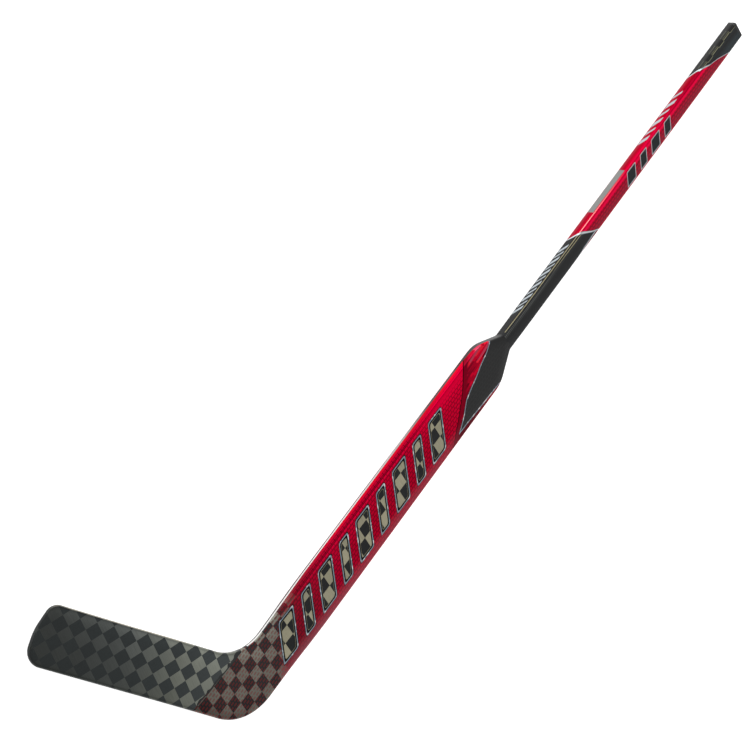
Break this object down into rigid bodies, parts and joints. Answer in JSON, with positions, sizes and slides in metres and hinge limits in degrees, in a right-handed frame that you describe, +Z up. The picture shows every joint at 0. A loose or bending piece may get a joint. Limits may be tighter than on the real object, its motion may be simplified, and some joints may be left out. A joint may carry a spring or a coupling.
{
  "type": "hockey goalie stick",
  "caption": "Composite hockey goalie stick: hollow shaft, foam-core paddle and bent carbon-weave blade, lying on its toe and paddle edge.",
  "frame": {"origin": "middle of the bottom of the stick's box, on the surface that it lies on", "axes": "+Y along the shaft to the butt, +Z up from the surface, -X towards the toe"},
  "size_m": [0.3532, 1.6018, 0.0381],
  "materials": {
    "red_lacquer": "clear-coated candy red with fine mesh",
    "pearl_edge": "silver-white coated edge",
    "black_lacquer": "satin black coat",
    "carbon_weave": "matte spread-tow carbon fabric",
    "carbon_laminate": "bare moulded laminate",
    "core_foam": "cut rigid foam",
    "butt_plastic": "moulded, lightly grained"
  },
  "bodies": {
    "root": {"shaft_tube": "red_lacquer", "butt_plug": "butt_plastic", "shaft_tenon": "carbon_laminate", "shaft_foam_plug": "core_foam", "throat_block": "black_lacquer", "paddle_inner_rail": "pearl_edge", "paddle_outer_rail": "pearl_edge", "paddle_front_skin": "red_lacquer", "paddle_back_skin": "red_lacquer", "heel_block": "carbon_laminate", "paddle_spar": "carbon_laminate", "paddle_inner_core": "core_foam", "paddle_outer_core": "core_foam", "blade_toe_rail": "carbon_weave", "blade_top_rail": "carbon_weave", "blade_sole_rail": "carbon_weave", "blade_front_skin": "carbon_weave", "blade_back_skin": "carbon_weave", "blade_bridge": "carbon_laminate", "blade_lower_core": "core_foam", "blade_upper_core": "core_foam"}
  },
  "joints": []
}
